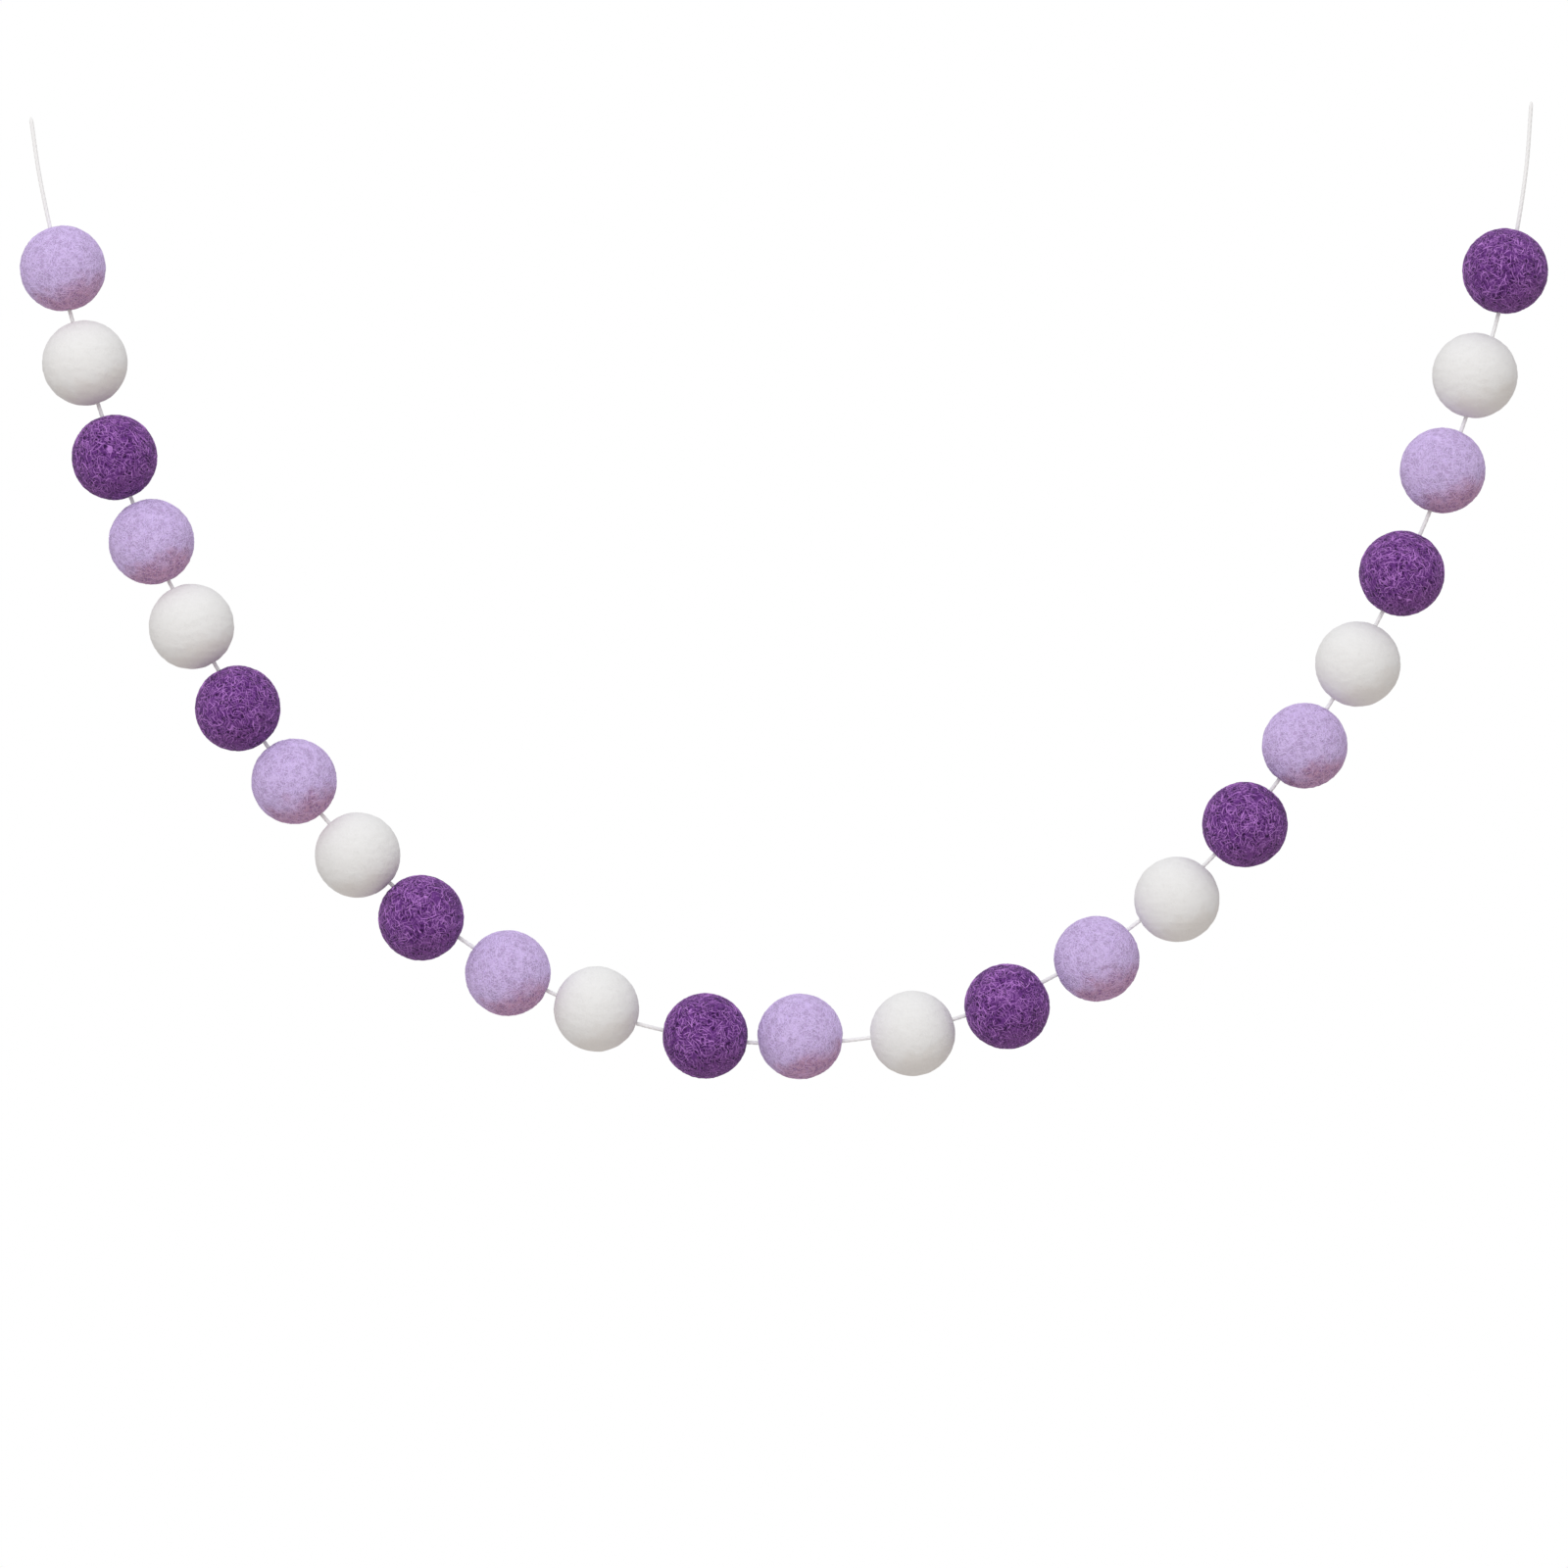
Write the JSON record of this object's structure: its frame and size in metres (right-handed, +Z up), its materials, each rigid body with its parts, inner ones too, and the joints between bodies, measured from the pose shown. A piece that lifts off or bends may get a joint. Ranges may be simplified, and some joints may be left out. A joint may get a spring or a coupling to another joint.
{
  "type": "felt ball garland",
  "caption": "Garland of round felt balls in lavender, white and purple on a thin white string, hung in a deep curve from its two string ends.",
  "frame": {"origin": "the string's left cut end, where the garland is tied up", "axes": "+X along the span from the left tie to the right tie, +Y away from the viewer, +Z up"},
  "size_m": [0.4476, 0.025, 0.2867],
  "materials": {
    "cotton_string": "white twisted cotton, matt",
    "lavender_felt": "pale lavender wool felt, matt, fine curled fibres",
    "white_felt": "off-white wool felt, matt, smooth and closely felted",
    "purple_felt": "deep purple wool felt, matt, with lighter lilac fibres"
  },
  "bodies": {
    "root": {"string": "cotton_string", "ball_01": "lavender_felt", "ball_02": "white_felt", "ball_03": "purple_felt", "ball_04": "lavender_felt", "ball_05": "white_felt", "ball_06": "purple_felt", "ball_07": "lavender_felt", "ball_08": "white_felt", "ball_09": "purple_felt", "ball_10": "lavender_felt", "ball_11": "white_felt", "ball_12": "purple_felt", "ball_13": "lavender_felt", "ball_14": "white_felt", "ball_15": "purple_felt", "ball_16": "lavender_felt", "ball_17": "white_felt", "ball_18": "purple_felt", "ball_19": "lavender_felt", "ball_20": "white_felt", "ball_21": "purple_felt", "ball_22": "lavender_felt", "ball_23": "white_felt", "ball_24": "purple_felt"}
  },
  "joints": []
}
